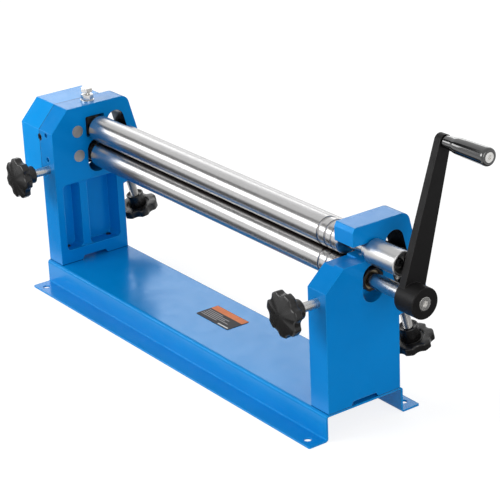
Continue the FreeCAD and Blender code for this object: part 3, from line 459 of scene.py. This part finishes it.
def turned(stations, steps, outline=None):
    """Rings of a turned piece from stations of (radius, height).

    A station with True as its third value gives its radius as a share of the outline's.
    """
    rings = []
    for station in stations:
        radius, height, shaped = (*station, False)[:3]
        radii = [outline(turn) * radius if shaped else radius for turn in turns(steps)]
        rings.append(ring_of(radii, height))
    return rings


# star knobs (millimetres and degrees) -------------------------------------------------------------

KNOB_RADIUS = 24.0
KNOB_LOBES = 7
KNOB_STEPS = KNOB_LOBES * 24
VALLEY_RADIUS = 8.0
VALLEY_DEPTH = 3.2
LOBE_BLEND = 2.2
VALLEY_TURNS = {"left": (22.0, 41.0), "right": (40.0, 21.0)}       # of the front and rear knob

# cup, hub and the ring sunk round it, then the star's back, side and crowned face
KNOB_STATIONS = (
    (5.0, 1.8), (8.0, 1.8), (8.2, 1.6), (8.4, 0.3), (8.7, 0.0), (10.0, 0.0), (10.4, 0.3),
    (10.5, 1.0), (10.2, 6.0), (10.4, 13.5), (10.6, 16.2), (11.2, 16.5), (13.2, 16.5),
    (13.8, 16.2), (14.0, 15.8), (14.2, 13.9), (14.7, 13.55), (15.2, 13.5),
    (0.92, 13.5, True), (0.955, 13.7, True), (0.985, 14.2, True), (1.0, 15.2, True),
    (1.0, 20.9, True), (0.993, 21.6, True), (0.975, 22.15, True), (0.945, 22.6, True),
    (0.90, 22.95, True), (0.80, 23.4, True), (0.6, 24.1, True), (0.3, 24.75, True),
    (0.1, 25.0, True),
)


def star_outline(valley_turn):
    """The star's radius at a turn, with round valleys that blend into broad lobes."""
    centre = KNOB_RADIUS - VALLEY_DEPTH + VALLEY_RADIUS
    pitch = 2 * math.pi / KNOB_LOBES

    def radius(turn):
        offset = (turn - valley_turn + pitch / 2) % pitch - pitch / 2
        across = VALLEY_RADIUS ** 2 - (centre * math.sin(offset)) ** 2
        valley = centre * math.cos(offset) - math.sqrt(max(across, 0.0))
        share = max(LOBE_BLEND - abs(valley - KNOB_RADIUS), 0.0) / LOBE_BLEND
        return min(valley, KNOB_RADIUS) - share * share * LOBE_BLEND / 4

    return radius


def make_star_knob(name, origin, direction, valley_degrees, body, node):
    """A star knob whose hub starts at the origin and runs along the direction."""
    outline = star_outline(math.radians(valley_degrees))
    rings = turned(KNOB_STATIONS, KNOB_STEPS, outline)
    mesh = finish_mesh(name, loft(rings), TURNED_SHARP)
    mesh.transform(axis_frame(origin, direction))
    piece = add_object(name, mesh, knob_black, body)
    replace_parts(piece, node)


for side, sign in SIDES:
    front_valley, rear_valley = VALLEY_TURNS[side]
    front_start = Vector((sign * SCREW_X, FRONT_KNOB_Y, FRONT_SCREW_Z))
    make_star_knob(side + "_front_star_knob", front_start, -Y_AXIS, front_valley,
                   side + "_front_knob_body", side + "_front_knob")
    rear_start = REAR_TOP + REAR_DOWN * REAR_KNOB_START
    rear_start.x = sign * SCREW_X
    make_star_knob(side + "_rear_star_knob", rear_start, REAR_DOWN, rear_valley,
                   side + "_rear_knob_body", side + "_rear_knob")


# threads, bolt and nut (millimetres) --------------------------------------------------------------

THREAD_STEPS = 36
THREAD_ROWS = 8                                      # rings in one pitch
THREAD_SLOPE = 2.4                                   # groove per share of a pitch off its crest
THREAD_CREST = 0.15                                  # taken off the groove for a flat crest
HEX_FACE = 0.95                                      # round end face as a share of the flats
HEX_CHAMFER = math.radians(30)
HEX_RING_STEP = 0.15
HEX_RINGS = 6                                        # at each end

# the rear screws, down the centre line from REAR_TOP
REAR_TIP = ((4.2, 32.8), (4.9, 33.6), (4.9, 44.0))
REAR_THREAD = {"low": 45.0, "high": 123.0, "radius": 4.95, "depth": 0.85, "pitch": 1.5}
REAR_END = ((4.9, 124.0), (4.2, 124.9))

# the pivot bolt and its jam nut, up from the bench
PIVOT_TIP = ((3.2, 202.2), (3.95, 203.0), (3.95, 220.0))
PIVOT_THREAD = {"low": 220.5, "high": 230.0, "radius": 3.97, "depth": 0.62, "pitch": 1.25}
PIVOT_COLLAR = ((5.9, 230.0),)
PIVOT_HEAD = (230.1, 235.3)
PIVOT_DISH = ((4.4, 235.1),)
PIVOT_NUT = (220.9, 227.4)
PIVOT_NUT_TURN = math.radians(22)
PIVOT_FLATS = 13.0


def thread_rings(low, high, radius, depth, pitch):
    """Rings of a screw thread between two heights, fading out at both ends."""
    rings = []
    count = int((high - low) / pitch * THREAD_ROWS)
    for row in range(count + 1):
        height = low + (high - low) * row / count
        fade = min(1.0, (height - low) / pitch, (high - height) / pitch)
        radii = []
        for step in range(THREAD_STEPS):
            share = (height / pitch - step / THREAD_STEPS) % 1.0
            groove = min(1.0, max(0.0, THREAD_SLOPE * abs(share - 0.5) - THREAD_CREST))
            radii.append(radius - depth * groove * fade)
        rings.append(ring_of(radii, height))
    return rings


def hexagon_radius(flats, turn):
    """The radius at a turn of a hexagon with some width across its flats."""
    return flats / 2 / math.cos((turn + math.pi / 6) % (math.pi / 3) - math.pi / 6)


def hex_rings(low, high, flats):
    """Rings of a hexagon whose corners are turned off at both ends."""
    lower = [low + step * HEX_RING_STEP for step in range(HEX_RINGS)]
    upper = [high - step * HEX_RING_STEP for step in reversed(range(HEX_RINGS))]
    rings = []
    for height in lower + upper:
        cone = HEX_FACE * flats / 2 + min(height - low, high - height) / math.tan(HEX_CHAMFER)
        radii = [min(hexagon_radius(flats, turn), cone) for turn in turns(THREAD_STEPS)]
        rings.append(ring_of(radii, height))
    return rings


def make_rear_screw(side, sign):
    """A rear adjusting screw with its thread."""
    origin = Vector((sign * SCREW_X, REAR_TOP.y, REAR_TOP.z))
    rings = turned(REAR_TIP, THREAD_STEPS)
    rings += thread_rings(**REAR_THREAD)
    rings += turned(REAR_END, THREAD_STEPS)
    mesh = finish_mesh(side + "_rear_thread", loft(rings), THREAD_SHARP)
    mesh.transform(axis_frame(origin, REAR_DOWN))
    piece = add_object(side + "_rear_thread", mesh, thread_steel, side + "_rear_screw_body")
    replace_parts(piece, side + "_rear_screw")


def make_pivot():
    """The pivot bolt's threaded shank under a hexagon head, and its jam nut."""
    origin = Vector((-SCREW_X, ROLL_Y, 0))
    rings = turned(PIVOT_TIP, THREAD_STEPS)
    rings += thread_rings(**PIVOT_THREAD)
    rings += turned(PIVOT_COLLAR, THREAD_STEPS) + hex_rings(*PIVOT_HEAD, PIVOT_FLATS)
    rings += turned(PIVOT_DISH, THREAD_STEPS)
    bolt = finish_mesh("pivot_bolt_hexagon", loft(rings), HEX_SHARP)
    bolt.transform(axis_frame(origin, Z_AXIS))
    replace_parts(add_object("pivot_bolt_hexagon", bolt, zinc, "stand"),
                "pivot_bolt")
    rings = hex_rings(*PIVOT_NUT, PIVOT_FLATS)
    nut = finish_mesh("pivot_nut_hexagon", loft(rings), HEX_SHARP)
    nut.transform(axis_frame(origin, Z_AXIS) @ Matrix.Rotation(PIVOT_NUT_TURN, 4, "Z"))
    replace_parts(add_object("pivot_nut_hexagon", nut, zinc, "stand"),
                "pivot_jam_nut")


for side, sign in SIDES:
    make_rear_screw(side, sign)
make_pivot()


# grip (millimetres) -------------------------------------------------------------------------------

GRIP_STEPS = 96

# the barrel from the crank arm outwards, its round end and the hole for the spindle's screw
GRIP_STATIONS = (
    (4.1, 0.0), (6.0, 0.0), (6.3, 0.3), (6.4, 2.0), (6.9, 8.0), (7.15, 11.5), (7.5, 13.5),
    (8.0, 15.8), (8.35, 18.5), (8.7, 30.0), (9.0, 45.0), (9.2, 56.0), (9.2, 57.4),
    (8.95, 58.6), (8.4, 59.5), (7.6, 59.95), (7.0, 60.0), (5.5, 60.0), (5.3, 59.7),
    (5.3, 56.9),
)


def make_grip():
    """The crank's grip, turned along X."""
    low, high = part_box("grip")
    origin = Vector((low.x, (low.y + high.y) / 2, (low.z + high.z) / 2))
    mesh = finish_mesh("grip_handle", loft(turned(GRIP_STATIONS, GRIP_STEPS)), TURNED_SHARP)
    turn = Matrix((Y_AXIS, Z_AXIS, X_AXIS)).transposed().to_4x4()
    mesh.transform(Matrix.Translation(origin) @ turn)
    piece = add_object("grip_handle", mesh, grip_black, "grip_body")
    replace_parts(piece, "grip")


make_grip()


# the label's plain printed panels (millimetres) ---------------------------------------------------

PANEL_SINK = 0.02                                    # into the label plate
PANEL_RISE = 0.05                                    # above it
CORNER_STEPS = 4
ROW_START = -19.0
ROW_STOPS = (6.0, 22.0, 18.0, 27.0, 10.0)
ROW_TOP = 11.6
ROW_PITCH = 2.9
ROW_HEIGHT = 1.2


def make_panel(name, x_range, y_range, material, corner):
    """A thin printed panel with round corners on the label plate."""
    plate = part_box("label_plate")[1].z / MM
    (x_low, x_high), (y_low, y_high) = x_range, y_range
    centres = ((x_high - corner, y_high - corner), (x_low + corner, y_high - corner),
               (x_low + corner, y_low + corner), (x_high - corner, y_low + corner))
    outline = []
    for quarter, (x, y) in enumerate(centres):
        for step in range(CORNER_STEPS + 1):
            turn = math.pi / 2 * (quarter + step / CORNER_STEPS)
            outline.append((x + corner * math.cos(turn), y + corner * math.sin(turn)))
    rings = [[Vector((x, y, height)) * MM for x, y in outline]
             for height in (plate - PANEL_SINK, plate + PANEL_RISE)]
    mesh = finish_mesh(name, loft(rings), PANEL_SHARP)
    add_object(name, mesh, material, "stand")


make_panel("label_band", (-21.2, 37.6), (15.4, 24.7), film_orange, corner=1.2)
make_panel("label_bar", (17.0, 35.6), (-3.6, -1.6), film_white, corner=0.6)
for row, stop in enumerate(ROW_STOPS):
    low = ROW_TOP - ROW_PITCH * row
    make_panel("label_row_%d" % row, (ROW_START, stop), (low, low + ROW_HEIGHT), film_pale,
               corner=0.4)


# ---- camera, fitted to the photograph -----------------------------------------------------------

CAMERA_AZIMUTH = math.radians(54.5067)
CAMERA_ELEVATION = math.radians(22.6002)
CAMERA_ROLL = math.radians(-2.5428)
CAMERA_TARGET = Vector((80.62, 0, 136.13)) * MM
CAMERA_DISTANCE = 2048.4 * MM
CAMERA_REACH = 100                                   # far clipping, metres
FOCAL_PIXELS = 1932.6
IMAGE_PIXELS = 500.0
SENSOR = 36.0                                        # millimetres


def make_camera():
    """The camera at its distance from the target, turned by its roll."""
    out = Vector((math.sin(CAMERA_AZIMUTH) * math.cos(CAMERA_ELEVATION),
                  -math.cos(CAMERA_AZIMUTH) * math.cos(CAMERA_ELEVATION),
                  math.sin(CAMERA_ELEVATION)))
    right = (-out).cross(Z_AXIS).normalized()
    up = right.cross(-out)
    level = right * math.cos(CAMERA_ROLL) + up * math.sin(CAMERA_ROLL)
    upright = up * math.cos(CAMERA_ROLL) - right * math.sin(CAMERA_ROLL)
    data = bpy.data.cameras.new("camera")
    data.sensor_width = SENSOR
    data.lens = FOCAL_PIXELS * SENSOR / IMAGE_PIXELS
    data.clip_end = CAMERA_REACH
    camera = bpy.data.objects.new("camera", data)
    rotation = Matrix((level, upright, out)).transposed().to_4x4()
    camera.matrix_world = Matrix.Translation(CAMERA_TARGET + out * CAMERA_DISTANCE) @ rotation
    bpy.context.scene.collection.objects.link(camera)
    bpy.context.scene.camera = camera


# ---- floor, lights and cards (metres) -----------------------------------------------------------

SKY_COLOUR = (0.96, 0.98, 1.0, 1)
SKY_LEVEL = 0.50
FLOOR_REACH = 6.0
FLOOR_CELLS = 8
FLOOR_GLOW = 0.62                                    # share of glow that a seen floor shows
FLOOR_LEVEL = 1.32                                   # strength of that glow
STAGE_ROUGHNESS = 0.9
LIGHT_TARGET = Vector((0, 0, 0.13))

# name, direction from the target, distance, (width, height), watts
LIGHTS = (
    ("key", (-0.30, -0.85, 0.43), 2.2, (1.2, 1.0), 27.0),
    ("fill", (0.94, -0.19, 0.28), 2.0, (1.0, 1.0), 10.5),
    ("roll_light", (-0.75, -0.56, 0.34), 2.0, (0.6, 0.5), 4.3),
    ("back", (-0.75, 0.54, 0.39), 2.0, (2.2, 0.45), 5.6),
)

# name, corners, grey level; two lie just above the floor and one hangs at the left
CARD_Z = 0.004
CARD_TONES = (0.9, 1.1)                              # shares of a card's level
CARDS = (
    ("front_card", ((-1.40, -0.52, CARD_Z), (0.22, -0.30, CARD_Z), (0.22, -0.09, CARD_Z),
                    (-1.40, -0.09, CARD_Z)), 0.05),
    ("right_card", ((0.28, -0.12, CARD_Z), (0.80, -0.12, CARD_Z), (0.80, 0.50, CARD_Z),
                    (0.28, 0.50, CARD_Z)), 0.15),
    ("high_card", ((-1.9, -0.32, 1.03), (-1.9, -0.86, 2.43), (-1.9, -1.85, 1.70),
                   (-1.9, -0.69, 0.76)), 0.04),
)


def make_light(name, direction, distance, size, watts):
    """A softbox that faces the machine from a direction, out of the camera's sight."""
    data = bpy.data.lights.new(name, "AREA")
    data.shape = "RECTANGLE"
    data.size, data.size_y = size
    data.energy = watts
    light = bpy.data.objects.new(name, data)
    out = Vector(direction).normalized()
    facing = out.to_track_quat("Z", "Y").to_matrix().to_4x4()
    light.matrix_world = Matrix.Translation(LIGHT_TARGET + out * distance) @ facing
    light.visible_camera = False
    bpy.context.scene.collection.objects.link(light)


def make_stage(name, shape, shader):
    """Turn a bmesh into an object of the stage, which isn't part of the machine."""
    mesh = bpy.data.meshes.new(name)
    shape.to_mesh(mesh)
    shape.free()
    mesh.materials.append(shader.done())
    piece = bpy.data.objects.new(name, mesh)
    bpy.context.scene.collection.objects.link(piece)
    return piece


def seen_rays(tree):
    """1 for the rays that show a surface: the camera's, mirrored and refracted ones."""
    path = tree.nodes.new("ShaderNodeLightPath")
    total = tree.nodes.new("ShaderNodeMath")
    tree.links.new(path.outputs["Is Camera Ray"], total.inputs[0])
    tree.links.new(path.outputs["Is Glossy Ray"], total.inputs[1])
    seen = tree.nodes.new("ShaderNodeMath")
    seen.use_clamp = True
    tree.links.new(total.outputs["Value"], seen.inputs[0])
    tree.links.new(path.outputs["Is Transmission Ray"], seen.inputs[1])
    return seen.outputs["Value"]


def make_floor():
    """A white floor that keeps the machine's shadow."""
    shape = bmesh.new()
    bmesh.ops.create_grid(shape, x_segments=FLOOR_CELLS, y_segments=FLOOR_CELLS, size=FLOOR_REACH)
    shader = Shader("floor_white", Roughness=STAGE_ROUGHNESS)
    tone = shader.ramp(shader.noise(scale=3.0, detail=2.0), "Fac", grey(0.79), grey(0.82))
    shader.link(tone, "Color", shader.bsdf, "Base Color")
    glow = shader.add("ShaderNodeEmission")
    glow.inputs["Strength"].default_value = FLOOR_LEVEL
    share = shader.add("ShaderNodeMath", operation="MULTIPLY")
    share.inputs[1].default_value = FLOOR_GLOW
    shader.tree.links.new(seen_rays(shader.tree), share.inputs[0])
    blend = shader.add("ShaderNodeMixShader")
    shader.link(share, "Value", blend, 0)
    shader.link(shader.bsdf, "BSDF", blend, 1)
    shader.link(glow, "Emission", blend, 2)
    shader.link(blend, "Shader", shader.output, "Surface")
    make_stage("floor", shape, shader)


def make_card(name, corners, level):
    """A grey card that only mirrored rays meet, for the dark bands on the rolls."""
    shape = bmesh.new()
    shape.faces.new([shape.verts.new(corner) for corner in corners])
    shader = Shader(name + "_grey", Base_Color=(*BLACK, 1), Roughness=STAGE_ROUGHNESS,
                    Emission_Strength=1.0)
    low, high = (grey(level * share) for share in CARD_TONES)
    tone = shader.ramp(shader.noise(scale=2.0, detail=3.0), "Fac", low, high)
    shader.link(tone, "Color", shader.bsdf, "Emission Color")
    card = make_stage(name, shape, shader)
    card.visible_camera = False
    card.visible_diffuse = False
    card.visible_transmission = False
    card.visible_shadow = False


def make_world():
    """A plain sky that lights the machine and shows as white."""
    world = bpy.data.worlds.new("studio")
    bpy.context.scene.world = world
    world.use_nodes = True
    tree = world.node_tree
    tree.nodes.clear()
    output = tree.nodes.new("ShaderNodeOutputWorld")
    light = tree.nodes.new("ShaderNodeBackground")
    light.inputs["Color"].default_value = SKY_COLOUR
    light.inputs["Strength"].default_value = SKY_LEVEL
    white = tree.nodes.new("ShaderNodeBackground")
    white.inputs["Color"].default_value = (*WHITE, 1)
    mix = tree.nodes.new("ShaderNodeMixShader")
    tree.links.new(seen_rays(tree), mix.inputs[0])
    tree.links.new(light.outputs[0], mix.inputs[1])
    tree.links.new(white.outputs[0], mix.inputs[2])
    tree.links.new(mix.outputs[0], output.inputs["Surface"])


make_camera()
make_floor()
make_world()
for light in LIGHTS:
    make_light(*light)
for card in CARDS:
    make_card(*card)

bpy.context.scene.view_settings.view_transform = "Standard"
